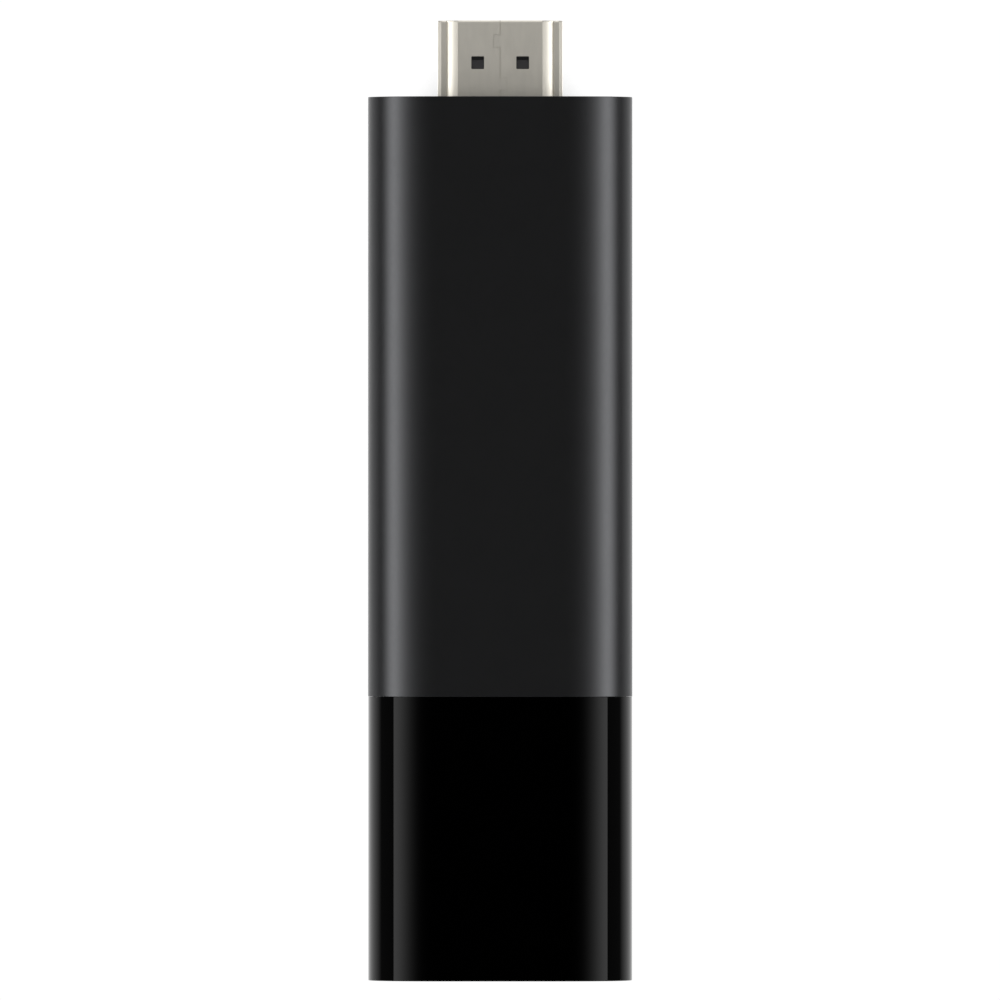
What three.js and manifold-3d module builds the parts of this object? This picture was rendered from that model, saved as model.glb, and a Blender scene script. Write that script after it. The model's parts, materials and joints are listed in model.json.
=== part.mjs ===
// A stick-form streaming media player: a matte sleeve and a glossy end cap around a chassis that
// carries the board, with a video plug at the front end and a power port at the rear end.
//
// Millimetres. +Y points out of the plug, +Z out of the front face, and the origin is under the
// middle of the stick, on the plane that its back rests on.

import * as THREE from "three";
import { mergeVertices } from "three/addons/utils/BufferGeometryUtils.js";
import Module from "manifold-3d";

const wasm = await Module();
wasm.setup();

// ---------------------------------------------------------------- driving dimensions

const LENGTH = 106.8; // tip of the plug to the rear face
const WIDTH = 29.4;
const THICKNESS = 15.4; // the sides are half-round, so this is their diameter too
const PLUG_PROUD = 8.5; // how far the plug stands out of the sleeve
const CAP_LENGTH = 31.6; // the glossy part of the body
const PARTING_GAP = 0.02; // hairline between sleeve and cap
const WALL = 1.5;
const END_WALL = 1.8;

const TIP_Y = LENGTH / 2;
const REAR_Y = -LENGTH / 2;
const FRONT_Y = TIP_Y - PLUG_PROUD; // the sleeve's end face
const JOINT_Y = REAR_Y + CAP_LENGTH; // where cap and sleeve meet
const CAVITY_WIDTH = WIDTH - 2 * WALL;
const CAVITY_HEIGHT = THICKNESS - 2 * WALL;
const CAVITY_FRONT_Y = FRONT_Y - END_WALL;
const CAVITY_REAR_Y = REAR_Y + END_WALL;

const FIT = 0.12; // clearance of a part that slides into another
const FILM = 0.02; // solder, glue or a bare touch between two parts

// The video plug, a type A one: its wide side faces the back of the stick.
const PLUG_WIDTH = 13.9;
const PLUG_HEIGHT = 4.45;
const PLUG_NARROW_HALF = 4.7; // half the narrow side, to its corner
const PLUG_SHOULDER_HALF = 5.88; // where the slope meets the shoulder
const PLUG_SHOULDER_DROP = 1.75; // shoulder below the narrow side
const PLUG_METAL = 0.35;
const PLUG_SHELL_REAR_Y = 38.2;
const PLUG_LEG_REAR_Y = 34.6;
const LATCH_WINDOW = 1.42;
const LATCH_WINDOW_X = 2.5;
const LATCH_WINDOW_FROM_TIP = 4.7;
const CONTACT_PITCH = 1; // within one row, the other row being half a pitch aside
const CONTACT_WIDTH = 0.34;
const CONTACT_METAL = 0.2;

// The board and the chassis around it. The board's mid-plane is the stick's mid-plane.
const BOARD_HALF_WIDTH = 10.5;
const BOARD_REAR_Y = -50.4;
const BOARD_FRONT_Y = 37.6;
const BOARD_THICKNESS = 1;
const BOARD_TOP = BOARD_THICKNESS / 2;
const CHASSIS_HALF_WIDTH = 11.5;
const CHASSIS_WALL = 0.7;
const CHASSIS_HALF_HEIGHT = 2.5;
const BRIDGE_Y = [-14, 32.7]; // the two bars over the board that take the screws
const BRIDGE_DEPTH = 3;
const BRIDGE_TOP = 3.55;
const BOARD_SCREWS = [[7, BRIDGE_Y[0]], [-7, BRIDGE_Y[1]]];
const SPREADER_SCREWS = [[0, BRIDGE_Y[0]], [0, BRIDGE_Y[1]]];
const SCREW_HOLE_R = 0.9;
const REAR_TIE_Y = [-44, -41]; // the two bars under the board and the plug
const FRONT_TIE_Y = [38.6, 41];

// The shields, pads and heat spreaders, as distances from the mid-plane.
const SHIELD = { halfWidth: 9.4, rearY: -10.5, frontY: 29.5, metal: 0.2 };
const SHIELD_FRAME_TOP = 2.35;
const SHIELD_LID_TOP = 2.6;
const BOTTOM_CAN_DEPTH = 2.3;
const PAD_THICKNESS = 0.9;
const SPREADER = { halfWidth: 9.6, rearY: -16, frontY: 36, thickness: 1.2 };
const TOP_SPREADER_Z = 3.6;
const BOTTOM_SPREADER_Z = -3.3 - SPREADER.thickness;

// The parts on the board: width, length and height, and where their middle stands.
const CHIPS = {
  processor_chip: { size: [12, 12, 1.2], at: [0, 21] },
  memory_chip_1: { size: [7.5, 11.5, 1], at: [-4.6, 7.4] },
  memory_chip_2: { size: [7.5, 11.5, 1], at: [4.6, 7.4] },
  power_chip: { size: [5, 5, 0.9], at: [-4.5, -5] },
};
const FLASH_CHIP = { size: [11.5, 13, 1], at: [0, 12] }; // on the board's underside
const TINNED_PARTS = {
  clock_crystal: { size: [2.5, 3.2, 0.7], at: [4.5, -5] },
  wireless_module: { size: [12, 12, 1.7], at: [0, -24.5] },
};
const INDUCTOR = { size: [4, 4, 1.8], at: [-3.4, -38.5] };
const CAPACITOR = { size: [2.8, 3.5, 1.9], at: [3.6, -38.5] };
const LED = { size: [1.6, 0.8, 0.8], at: [8.6, -49.8] };
const ANTENNAS = { antenna_left: -9.4, antenna_right: 9.4 };
const ANTENNA_REAR_Y = -44;

// The rear face: power port in the middle, button and light either side of it.
const PORT_WIDTH = 7.5;
const PORT_HEIGHT = 2.5;
const PORT_METAL = 0.3;
const PORT_MOUTH_Y = REAR_Y + 0.4;
const PORT_REAR_Y = -47.4;
const PORT_PITCH = 0.65;
const BUTTON_X = -8.6;
const BUTTON_R = 1.5;
const BUTTON_FLANGE_R = 2.1;
const BUTTON_RECESS = 0.1; // the button's face behind the rear face
const BUTTON_FLANGE_Y = [CAVITY_REAR_Y + 0.1, CAVITY_REAR_Y + 0.7];
const SWITCH = { halfWidth: 1.8, halfHeight: 0.9, faceY: -50.2, rearY: -47.6 };
const NOTCH_ROOM = 0.2; // between a part and the notch it stands in
const LIGHT_X = 8.6;
const LIGHT_R = 0.85;

// ---------------------------------------------------------------- solids

// A three.js geometry as a closed manifold-3d solid.
function solidOf(geometry) {
  const bare = geometry.clone();
  bare.deleteAttribute("normal");
  bare.deleteAttribute("uv");
  const merged = mergeVertices(bare, 1e-4);
  return new wasm.Manifold(
    new wasm.Mesh({
      numProp: 3,
      vertProperties: merged.attributes.position.array,
      triVerts: new Uint32Array(merged.index.array),
    }),
  );
}

// The geometries in added, joined, less those in removed.
function carved(added, removed = []) {
  const whole = added.map(solidOf).reduce((a, b) => a.add(b));
  const mesh = removed.map(solidOf).reduce((a, b) => a.subtract(b), whole).getMesh();
  const geometry = new THREE.BufferGeometry();
  geometry.setAttribute("position", new THREE.BufferAttribute(mesh.vertProperties, 3));
  geometry.setIndex(new THREE.BufferAttribute(mesh.triVerts, 1));
  geometry.computeVertexNormals();
  return geometry;
}

// A block between two opposite corners.
function block([x0, y0, z0], [x1, y1, z1]) {
  return new THREE.BoxGeometry(x1 - x0, y1 - y0, z1 - z0).translate(
    (x0 + x1) / 2,
    (y0 + y1) / 2,
    (z0 + z1) / 2,
  );
}

// A block centred on x and y = 0 that stands on z = 0, for parts placed by their position.
function slab(width, length, height) {
  return new THREE.BoxGeometry(width, length, height).translate(0, 0, height / 2);
}

function cylinderAlongY(radius, x, y0, y1, sides = 24) {
  return new THREE.CylinderGeometry(radius, radius, y1 - y0, sides).translate(x, (y0 + y1) / 2, 0);
}

function cylinderAlongZ(radius, [x, y], z0, z1, sides = 20) {
  return new THREE.CylinderGeometry(radius, radius, z1 - z0, sides)
    .rotateX(Math.PI / 2)
    .translate(x, y, (z0 + z1) / 2);
}

// A shape drawn in X and Z, extruded along Y.
function alongY(shape, y0, y1, curveSegments = 12) {
  return new THREE.ExtrudeGeometry(shape, { depth: y1 - y0, bevelEnabled: false, curveSegments })
    .rotateX(Math.PI / 2)
    .translate(0, y1, 0);
}

// A shape drawn in Y and Z, extruded along X.
function alongX(shape, x0, x1) {
  const turned = new THREE.Matrix4().set(0, 0, 1, x0, 1, 0, 0, 0, 0, 1, 0, 0, 0, 0, 0, 1);
  return new THREE.ExtrudeGeometry(shape, { depth: x1 - x0, bevelEnabled: false }).applyMatrix4(
    turned,
  );
}

// ---------------------------------------------------------------- outlines

// A rectangle with half-round ends.
function stadium(width, height) {
  const r = height / 2;
  const x = width / 2 - r;
  const shape = new THREE.Shape();
  shape.moveTo(-x, -r).lineTo(x, -r);
  shape.absarc(x, 0, r, -Math.PI / 2, Math.PI / 2, false);
  shape.lineTo(-x, r);
  shape.absarc(-x, 0, r, Math.PI / 2, (3 * Math.PI) / 2, false);
  return shape;
}

// The points of a closed outline whose corners are [x, y, radius], each turned by an arc.
function rounded(corners, steps = 4) {
  return corners.flatMap(([x, y, r], i) => {
    const corner = new THREE.Vector2(x, y);
    if (!r) return [corner];
    const [bx, by] = corners.at(i - 1);
    const [ax, ay] = corners[(i + 1) % corners.length];
    const before = new THREE.Vector2(bx, by).sub(corner).normalize();
    const after = new THREE.Vector2(ax, ay).sub(corner).normalize();
    const half = Math.acos(before.dot(after)) / 2;
    const inwards = before.clone().add(after).normalize();
    const centre = corner.clone().addScaledVector(inwards, r / Math.sin(half));
    const start = corner.clone().addScaledVector(before, r / Math.tan(half)).sub(centre);
    const end = corner.clone().addScaledVector(after, r / Math.tan(half)).sub(centre);
    const sweep = Math.atan2(start.cross(end), start.dot(end));
    return Array.from({ length: steps + 1 }, (_, k) =>
      start.clone().rotateAround(new THREE.Vector2(), (sweep * k) / steps).add(centre),
    );
  });
}

// The corners of an outline that runs anticlockwise, moved inwards by d with their radii to match.
function inset(corners, d) {
  const direction = ([x0, y0], [x1, y1]) => new THREE.Vector2(x1 - x0, y1 - y0).normalize();
  return corners.map((corner, i) => {
    const before = direction(corners.at(i - 1), corner);
    const after = direction(corner, corners[(i + 1) % corners.length]);
    const [x, y, r] = corner;
    const reach = d / (1 + before.dot(after));
    const convex = before.cross(after) > 0;
    return [
      x - reach * (before.y + after.y),
      y + reach * (before.x + after.x),
      Math.max(convex ? r - d : r + d, 0),
    ];
  });
}

// A strip of metal of one thickness along a line of points.
function strip(line, thickness) {
  const points = line.map(([x, y]) => new THREE.Vector2(x, y));
  const side = (sign) =>
    points.map((point, i) => {
      const before = point.clone().sub(points[Math.max(i - 1, 0)]).normalize();
      const after = points[Math.min(i + 1, points.length - 1)].clone().sub(point).normalize();
      const a = i === 0 ? after : before;
      const b = i === points.length - 1 ? before : after;
      const normal = new THREE.Vector2(-a.y - b.y, a.x + b.x);
      return point.clone().addScaledVector(normal, (sign * thickness) / 2 / (1 + a.dot(b)));
    });
  return new THREE.Shape([...side(1), ...side(-1).reverse()]);
}

function mirrored(corners) {
  return [...corners, ...corners.map(([x, y, r]) => [-x, y, r]).reverse()];
}

// The video plug's outline, wide side down, moved inwards by metal.
function plugOutline(metal = 0) {
  const shoulder = PLUG_HEIGHT / 2 - PLUG_SHOULDER_DROP;
  const corners = mirrored([
    [PLUG_WIDTH / 2, -PLUG_HEIGHT / 2, 0.5],
    [PLUG_WIDTH / 2, shoulder, 0.39],
    [PLUG_SHOULDER_HALF, shoulder, 0.2],
    [PLUG_NARROW_HALF, PLUG_HEIGHT / 2, 0.15],
  ]);
  return new THREE.Shape(rounded(inset(corners, metal)));
}

// The power port's outline, chamfered side down, moved inwards by metal.
function portOutline(metal = 0) {
  const corners = mirrored([
    [PORT_WIDTH / 2 - 1, -PORT_HEIGHT / 2, 0.4],
    [PORT_WIDTH / 2, -PORT_HEIGHT / 2 + 0.9, 0.4],
    [PORT_WIDTH / 2, PORT_HEIGHT / 2, 0.4],
  ]);
  return new THREE.Shape(rounded(inset(corners, metal), 3));
}

function roundedRectangle(width, height, radius) {
  const corners = mirrored([
    [width / 2, -height / 2, radius],
    [width / 2, height / 2, radius],
  ]);
  return new THREE.Shape(rounded(corners));
}

// ---------------------------------------------------------------- materials

const finish = (color, roughness, metalness = 0) =>
  new THREE.MeshStandardMaterial({ color, roughness, metalness });
const MATTE = finish(0x1d1d1e, 0.45);
const GLOSS = finish(0x050505, 0.06);
const INNER_PLASTIC = finish(0x2a2a2c, 0.6);
const CONNECTOR_PLASTIC = finish(0x18171a, 0.5);
const NICKEL = finish(0xb9b6a8, 0.3, 1);
const GOLD = finish(0xd9ad54, 0.25, 1);
const ALUMINIUM = finish(0xb8bbbe, 0.4, 1);
const TIN = finish(0xc4c4bf, 0.35, 1);
const BOARD_GREEN = finish(0x12402a, 0.4);
const CHIP = finish(0x1b1b1d, 0.55);
const SILICONE = finish(0x8fa3b5, 0.8);
const STEEL = finish(0x8c8c8e, 0.35, 1);
const FOAM = finish(0x3c3c3e, 0.9);
const CLEAR = finish(0xe8eef2, 0.1);
const LED_WHITE = finish(0xf2efe2, 0.4);

// Everything is placed about the mid-plane, and the stick rests on its back.
const player = new THREE.Group();
player.position.z = THICKNESS / 2;
const board = new THREE.Group();
player.add(board);

function place(parent, name, geometry, material, x = 0, y = 0, z = 0) {
  const mesh = new THREE.Mesh(geometry, material);
  mesh.name = name;
  mesh.position.set(x, y, z);
  parent.add(mesh);
  return mesh;
}

// ---------------------------------------------------------------- housing

const SIDE_STOP = { x: [CHASSIS_HALF_WIDTH + 0.15, WIDTH / 2 - 1], z: [1.5, 2.3] };
const HOLD_DOWN = { x: [10.9, WIDTH / 2 - 1.6], z: [2.65, 3.3] };
const TONGUE_HALF_WIDTH = 2.6;
const TONGUE_REACH = 4.6; // past the joint, into the sleeve
const HOOK = { rear: 2.8, front: 4, height: 0.5 };
const LIP = { root: 2, reach: 1.5, thickness: 0.8 };

// The range between two distances from the mid-plane, on one side of it.
function onSide(side, [near, far]) {
  return side > 0 ? [near, far] : [-far, -near];
}

// The ribs that the chassis slides between, from y0 to y1. In each corner one rib stops its side
// rail going sideways and the other stops it going up or down.
function guideRibs(y0, y1) {
  const ribs = [];
  for (const side of [-1, 1])
    for (const level of [-1, 1])
      for (const rib of [SIDE_STOP, HOLD_DOWN]) {
        const [x0, x1] = onSide(side, rib.x);
        const [z0, z1] = onSide(level, rib.z);
        ribs.push(block([x0, y0, z0], [x1, y1, z1]));
      }
  return ribs;
}

function sleeveHousing() {
  const rearY = JOINT_Y + PARTING_GAP / 2;
  const pocketTop = CAVITY_HEIGHT / 2 + HOOK.height + 0.1;
  const pockets = [-1, 1].map((side) => {
    const [z0, z1] = onSide(side, [CAVITY_HEIGHT / 2 - 1, pocketTop]);
    const halfWidth = TONGUE_HALF_WIDTH + 0.2;
    const y0 = JOINT_Y + HOOK.rear - 0.2;
    return block([-halfWidth, y0, z0], [halfWidth, JOINT_Y + HOOK.front + 0.5, z1]);
  });
  const tube = carved(
    [alongY(stadium(WIDTH, THICKNESS), rearY, FRONT_Y)],
    [
      alongY(stadium(CAVITY_WIDTH, CAVITY_HEIGHT), rearY - 1, CAVITY_FRONT_Y),
      alongY(plugOutline(-0.2), CAVITY_FRONT_Y - 1, FRONT_Y + 1),
      ...pockets,
    ],
  );
  return carved([tube, ...guideRibs(-12, CAVITY_FRONT_Y + 0.5)]);
}

// One of the two tongues that hold the cap in the sleeve: a beam with a hook at its end.
function snapTongue(side) {
  const outer = CAVITY_HEIGHT / 2 - FIT;
  const inner = outer - 1;
  const rootY = JOINT_Y - LIP.root;
  const profile = new THREE.Shape(
    [
      [rootY, inner],
      [JOINT_Y + TONGUE_REACH, inner],
      [JOINT_Y + TONGUE_REACH, outer - 0.2],
      [JOINT_Y + HOOK.front, outer + HOOK.height - 0.1],
      [JOINT_Y + HOOK.rear, outer + HOOK.height - 0.1],
      [JOINT_Y + HOOK.rear, outer],
      [rootY, outer],
    ].map(([y, z]) => new THREE.Vector2(y, z)),
  );
  const tongue = alongX(profile, -TONGUE_HALF_WIDTH, TONGUE_HALF_WIDTH);
  return side > 0 ? tongue : tongue.rotateY(Math.PI);
}

function endCap() {
  const frontY = JOINT_Y - PARTING_GAP / 2;
  const rootY = JOINT_Y - LIP.root;
  const shrunk = (by) => stadium(CAVITY_WIDTH - 2 * by, CAVITY_HEIGHT - 2 * by);
  const shellWithWindows = carved(
    [alongY(stadium(WIDTH, THICKNESS), REAR_Y, frontY)],
    [
      alongY(shrunk(0), CAVITY_REAR_Y, frontY + 1),
      alongY(roundedRectangle(PORT_WIDTH + 0.7, PORT_HEIGHT + 0.7, 0.7), REAR_Y - 1, CAVITY_REAR_Y + 1),
      cylinderAlongY(BUTTON_R + FIT, BUTTON_X, REAR_Y - 1, CAVITY_REAR_Y + 1, 32),
      cylinderAlongY(LIGHT_R + 0.1, LIGHT_X, REAR_Y - 1, CAVITY_REAR_Y + 1),
    ],
  );
  const lipHole = alongY(shrunk(FIT + LIP.thickness), rootY - 1, JOINT_Y + LIP.reach + 1);
  const lipRoot = carved([alongY(shrunk(-0.2), rootY, frontY)], [lipHole]);
  const lip = carved([alongY(shrunk(FIT), rootY, JOINT_Y + LIP.reach)], [lipHole]);
  return carved([
    shellWithWindows,
    lipRoot,
    lip,
    snapTongue(1),
    snapTongue(-1),
    ...guideRibs(CAVITY_REAR_Y - 0.5, rootY - 0.5),
  ]);
}

place(player, "sleeve_housing", sleeveHousing(), MATTE);
place(player, "end_cap", endCap(), GLOSS);

// ---------------------------------------------------------------- chassis and screws

// Two side rails, ledges along the board's edges, two screw bridges over the board and two ties
// under it.
function innerChassis() {
  const railRearY = CAVITY_REAR_Y + 0.1;
  const railFrontY = CAVITY_FRONT_Y - 0.1;
  const railInner = CHASSIS_HALF_WIDTH - CHASSIS_WALL;
  const under = BOARD_TOP + FILM;
  const pieces = [];
  for (const side of [-1, 1]) {
    const [wall0, wall1] = onSide(side, [railInner, CHASSIS_HALF_WIDTH]);
    const [ledge0, ledge1] = onSide(side, [BOARD_HALF_WIDTH - 0.65, railInner + 0.1]);
    pieces.push(
      block([wall0, railRearY, -CHASSIS_HALF_HEIGHT], [wall1, railFrontY, CHASSIS_HALF_HEIGHT]),
      block([ledge0, BRIDGE_Y[0], under], [ledge1, BRIDGE_Y[1], 1.7]),
    );
  }
  const reach = railInner + 0.1;
  for (const y of BRIDGE_Y)
    pieces.push(
      block([-reach, y - BRIDGE_DEPTH / 2, under], [reach, y + BRIDGE_DEPTH / 2, CHASSIS_HALF_HEIGHT]),
      block([-9, y - BRIDGE_DEPTH / 2, under], [9, y + BRIDGE_DEPTH / 2, BRIDGE_TOP]),
    );
  pieces.push(
    block([-reach, REAR_TIE_Y[0], -CHASSIS_HALF_HEIGHT], [reach, REAR_TIE_Y[1], -1.3]),
    block([-reach, FRONT_TIE_Y[0], -3.5], [reach, FRONT_TIE_Y[1], -2.4]),
  );
  const holes = [
    ...BOARD_SCREWS.map((at) => cylinderAlongZ(SCREW_HOLE_R, at, 0, 3)),
    ...SPREADER_SCREWS.map((at) => cylinderAlongZ(SCREW_HOLE_R, at, 1.2, 4)),
  ];
  return carved(pieces, holes);
}

// A pan-head screw with a cross recess. Its head stands on z = 0 and its thread hangs below.
function panHeadScrew() {
  const head = { r: 1.4, height: 0.6 };
  const thread = { r: 0.75, length: 3.2 };
  const slot = { long: 1.6, wide: 0.35, deep: 0.35 };
  const profile = [
    [0, -thread.length],
    [thread.r - 0.3, -thread.length],
    [thread.r, 0.3 - thread.length],
    [thread.r, 0],
    [head.r, 0],
    [head.r, head.height - 0.25],
    [head.r - 0.35, head.height],
    [0, head.height],
  ].map(([r, z]) => new THREE.Vector2(r, z));
  const turned = new THREE.LatheGeometry(profile, 16).rotateX(Math.PI / 2);
  const bar = (width, length) =>
    slab(width, length, 1).translate(0, 0, head.height - slot.deep);
  return carved([turned], [bar(slot.long, slot.wide), bar(slot.wide, slot.long)]);
}

place(player, "inner_chassis", innerChassis(), INNER_PLASTIC);
BOARD_SCREWS.forEach(([x, y], i) => {
  const screw = place(player, `board_screw_${i + 1}`, panHeadScrew(), STEEL, x, y, -BOARD_TOP - FILM);
  screw.rotation.x = Math.PI;
});
SPREADER_SCREWS.forEach(([x, y], i) => {
  const headZ = TOP_SPREADER_Z + SPREADER.thickness + FILM;
  place(player, `spreader_screw_${i + 1}`, panHeadScrew(), STEEL, x, y, headZ);
});

// ---------------------------------------------------------------- board and its parts

function mainBoard() {
  const corners = mirrored([
    [BOARD_HALF_WIDTH, BOARD_REAR_Y, 1],
    [BOARD_HALF_WIDTH, BOARD_FRONT_Y, 1],
  ]);
  const plate = new THREE.ExtrudeGeometry(new THREE.Shape(rounded(corners)), {
    depth: BOARD_THICKNESS,
    bevelEnabled: false,
  }).translate(0, 0, -BOARD_TOP);
  const notch = ([x0, x1], [y0, y1]) => block([x0, y0, -1], [x1, y1, 1]);
  const rear = (y) => [BOARD_REAR_Y - 1, y + NOTCH_ROOM];
  const portHalf = PORT_WIDTH / 2 + NOTCH_ROOM;
  const switchSide = BUTTON_X + SWITCH.halfWidth + NOTCH_ROOM;
  const leg = [PLUG_WIDTH / 2 - PLUG_METAL - NOTCH_ROOM, PLUG_WIDTH / 2 + NOTCH_ROOM];
  const front = [PLUG_LEG_REAR_Y - NOTCH_ROOM, BOARD_FRONT_Y + 1];
  return carved(
    [plate],
    [
      notch([-portHalf, portHalf], rear(PORT_REAR_Y)),
      notch([-BOARD_HALF_WIDTH - 1, switchSide], rear(SWITCH.rearY)),
      ...[-1, 1].map((side) => notch(onSide(side, leg), front)),
      ...BOARD_SCREWS.map((at) => cylinderAlongZ(SCREW_HOLE_R, at, -1, 1)),
    ],
  );
}

// A chip package with a small pin-one dimple in a corner of its top.
function chip([width, length, height]) {
  const corner = [0.9 - width / 2, length / 2 - 0.9];
  const dimple = cylinderAlongZ(0.35, corner, height - 0.08, height + 1, 12);
  return carved([slab(width, length, height)], [dimple]);
}

// The soldered fence of the top shield, with the flange and the bar that the lid rests on.
function topShieldFrame() {
  const { halfWidth: x, rearY, frontY, metal } = SHIELD;
  const flange = 1.2;
  const foot = BOARD_TOP + FILM;
  return carved(
    [block([-x, rearY, foot], [x, frontY, SHIELD_FRAME_TOP])],
    [
      block([metal - x, rearY + metal, foot - 1], [x - metal, frontY - metal, SHIELD_FRAME_TOP - metal]),
      block([flange - x, rearY + flange, 0], [x - flange, -0.6, SHIELD_FRAME_TOP + 1]),
      block([flange - x, 0.6, 0], [x - flange, frontY - flange, SHIELD_FRAME_TOP + 1]),
    ],
  );
}

// The pressed lid: a plate with a skirt that clips over the fence.
function topShieldLid() {
  const { halfWidth, rearY, frontY, metal } = SHIELD;
  const gap = 0.05;
  const x = halfWidth + gap;
  const [y0, y1] = [rearY - gap, frontY + gap];
  const plateZ = SHIELD_FRAME_TOP + gap;
  return carved(
    [block([-x - metal, y0 - metal, 1.2], [x + metal, y1 + metal, SHIELD_LID_TOP])],
    [block([-x, y0, 0], [x, y1, plateZ])],
  );
}

function bottomShieldCan() {
  const { halfWidth: x, rearY, frontY, metal } = SHIELD;
  const foot = -BOARD_TOP - FILM;
  return carved(
    [block([-x, rearY, -BOTTOM_CAN_DEPTH], [x, frontY, foot])],
    [block([metal - x, rearY + metal, metal - BOTTOM_CAN_DEPTH], [x - metal, frontY - metal, 1])],
  );
}

function heatSpreader(holes) {
  const corners = mirrored([
    [SPREADER.halfWidth, SPREADER.rearY, 2],
    [SPREADER.halfWidth, SPREADER.frontY, 2],
  ]);
  const plate = new THREE.ExtrudeGeometry(new THREE.Shape(rounded(corners)), {
    depth: SPREADER.thickness,
    bevelEnabled: false,
  });
  return carved([plate], holes.map((at) => cylinderAlongZ(SCREW_HOLE_R, at, -1, 3)));
}

// An inverted-F antenna of stamped plate that stands on its two legs.
function antenna() {
  const length = 13;
  const [armZ, topZ] = [1.7, 2.9];
  const leg = 0.7;
  const feedY = 2.8;
  const profile = [
    [0, 0],
    [leg, 0],
    [leg, armZ],
    [feedY, armZ],
    [feedY, 0],
    [feedY + leg, 0],
    [feedY + leg, armZ],
    [length, armZ],
    [length, topZ],
    [0, topZ],
  ].map(([y, z]) => new THREE.Vector2(y, z));
  return alongX(new THREE.Shape(profile), -0.15, 0.15);
}

const TOP = BOARD_TOP + FILM;
const solder = (name, geometry, material, [x, y]) =>
  place(board, name, geometry, material, x, y, TOP);

place(board, "main_board", mainBoard(), BOARD_GREEN);
for (const [name, { size, at }] of Object.entries(CHIPS)) solder(name, chip(size), CHIP, at);
for (const [name, { size, at }] of Object.entries(TINNED_PARTS)) solder(name, slab(...size), TIN, at);
for (const [name, x] of Object.entries(ANTENNAS)) solder(name, antenna(), NICKEL, [x, ANTENNA_REAR_Y]);
solder("power_inductor", slab(...INDUCTOR.size), CHIP, INDUCTOR.at);
solder("bulk_capacitor", slab(...CAPACITOR.size), FOAM, CAPACITOR.at);
solder("status_led", slab(...LED.size), LED_WHITE, LED.at);
const flash = place(board, "flash_chip", chip(FLASH_CHIP.size), CHIP, ...FLASH_CHIP.at, -TOP);
flash.rotation.y = Math.PI;
place(board, "top_shield_frame", topShieldFrame(), TIN);
place(board, "top_shield_lid", topShieldLid(), TIN);
place(board, "bottom_shield_can", bottomShieldCan(), TIN);

const TOP_PAD_Z = SHIELD_LID_TOP + FILM;
const BOTTOM_PAD_Z = -BOTTOM_CAN_DEPTH - FILM - PAD_THICKNESS;
place(player, "top_thermal_pad", slab(16, 34, PAD_THICKNESS), SILICONE, 0, 9.5, TOP_PAD_Z);
place(player, "bottom_thermal_pad", slab(16, 26, PAD_THICKNESS), SILICONE, 0, 12, BOTTOM_PAD_Z);
place(player, "top_heat_spreader", heatSpreader(SPREADER_SCREWS), ALUMINIUM, 0, 0, TOP_SPREADER_Z);
place(player, "bottom_heat_spreader", heatSpreader([]), ALUMINIUM, 0, 0, BOTTOM_SPREADER_Z);

// ---------------------------------------------------------------- video plug

const INSULATOR_REAR_Y = 37.9;
const INSULATOR_FRONT_Y = TIP_Y - 0.5;
const TONGUE_ROOM = { halfWidth: 5, bottom: -1.05, top: 0.6, rearY: TIP_Y - 6.8 };
const UPPER_SEAT_Z = 0.82; // the rows of contacts, where they run through the insulator
const LOWER_SEAT_Z = -1.27;
const UPPER_ROW = Array.from({ length: 9 }, (_, i) => (i - 4) * CONTACT_PITCH);
const LOWER_ROW = Array.from({ length: 10 }, (_, i) => (i - 4.5) * CONTACT_PITCH);

// Rolled from sheet metal: a tube with latch windows on both flat sides and a leg at each edge.
function plugShell() {
  const half = LATCH_WINDOW / 2;
  const windowY = TIP_Y - LATCH_WINDOW_FROM_TIP;
  const windows = [-LATCH_WINDOW_X, LATCH_WINDOW_X].map((x) =>
    block([x - half, windowY - half, -5], [x + half, windowY + half, 5]),
  );
  const side = PLUG_WIDTH / 2;
  const leg = ([x0, x1]) =>
    block([x0, PLUG_LEG_REAR_Y, -1.6], [x1, PLUG_SHELL_REAR_Y + 0.5, 0.05]);
  const tube = carved(
    [alongY(plugOutline(), PLUG_SHELL_REAR_Y, TIP_Y)],
    [alongY(plugOutline(PLUG_METAL), PLUG_SHELL_REAR_Y - 1, TIP_Y + 1), ...windows],
  );
  return carved([tube, leg([side - PLUG_METAL, side]), leg([-side, PLUG_METAL - side])]);
}

function plugInsulator() {
  const { halfWidth, bottom, top, rearY } = TONGUE_ROOM;
  const groove = (x, z) =>
    block([x - 0.24, INSULATOR_REAR_Y - 1, z - 0.24], [x + 0.24, TIP_Y, z + 0.24]);
  return carved(
    [alongY(plugOutline(PLUG_METAL + 0.05), INSULATOR_REAR_Y, INSULATOR_FRONT_Y)],
    [
      block([-halfWidth, rearY, bottom], [halfWidth, TIP_Y, top]),
      ...UPPER_ROW.map((x) => groove(x, UPPER_SEAT_Z)),
      ...LOWER_ROW.map((x) => groove(x, LOWER_SEAT_Z)),
    ],
  );
}

// A contact runs from its sprung tip, through the insulator, to its tail on the board.
function plugContact(seatZ) {
  const side = Math.sign(seatZ);
  const tailZ = side * (BOARD_TOP + FILM + CONTACT_METAL / 2);
  const line = [
    [TIP_Y - 1.3, seatZ - side * 0.08],
    [TIP_Y - 2.6, seatZ - side * 0.4],
    [TIP_Y - 4.2, seatZ - side * 0.1],
    [TIP_Y - 6.4, seatZ],
    [INSULATOR_REAR_Y - 0.2, seatZ],
    [INSULATOR_REAR_Y - 1.1, tailZ],
    [INSULATOR_REAR_Y - 2.5, tailZ],
  ];
  return alongX(strip(line, CONTACT_METAL), -CONTACT_WIDTH / 2, CONTACT_WIDTH / 2);
}

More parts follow.
